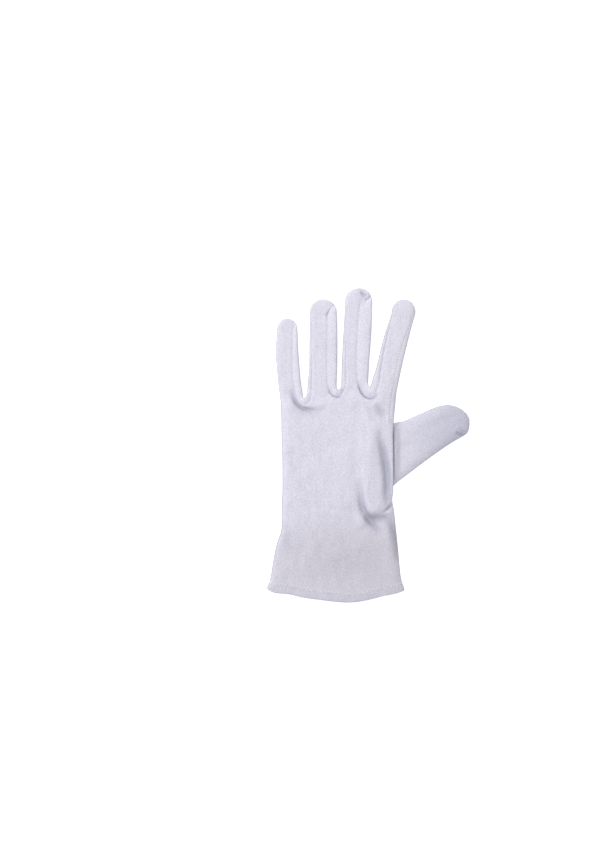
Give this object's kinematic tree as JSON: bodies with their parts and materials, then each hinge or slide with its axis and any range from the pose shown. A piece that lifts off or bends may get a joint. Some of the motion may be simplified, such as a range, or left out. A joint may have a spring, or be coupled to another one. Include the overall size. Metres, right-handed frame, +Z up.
{
  "type": "serving glove",
  "caption": "Left-hand white cotton dress glove lying flat with its back up, fingers a little apart, thumb folded under the palm and out to the side.",
  "frame": {"origin": "middle of the glove's footprint, on the surface it lies on", "axes": "+Y towards the fingertips, +X towards the index finger's side and the thumb, +Z up, out of the back of the glove"},
  "size_m": [0.155, 0.2399, 0.0154],
  "materials": {
    "cotton": "matt white cotton jersey with fine wales",
    "fourchette_cotton": "matt white cotton jersey",
    "hem_cotton": "matt white cotton jersey, two layers"
  },
  "bodies": {
    "root": {"trank": "cotton", "fourchette_little_ring": "fourchette_cotton", "fourchette_ring_middle": "fourchette_cotton", "fourchette_middle_index": "fourchette_cotton", "thumb": "cotton", "cuff_hem": "hem_cotton"}
  },
  "joints": []
}
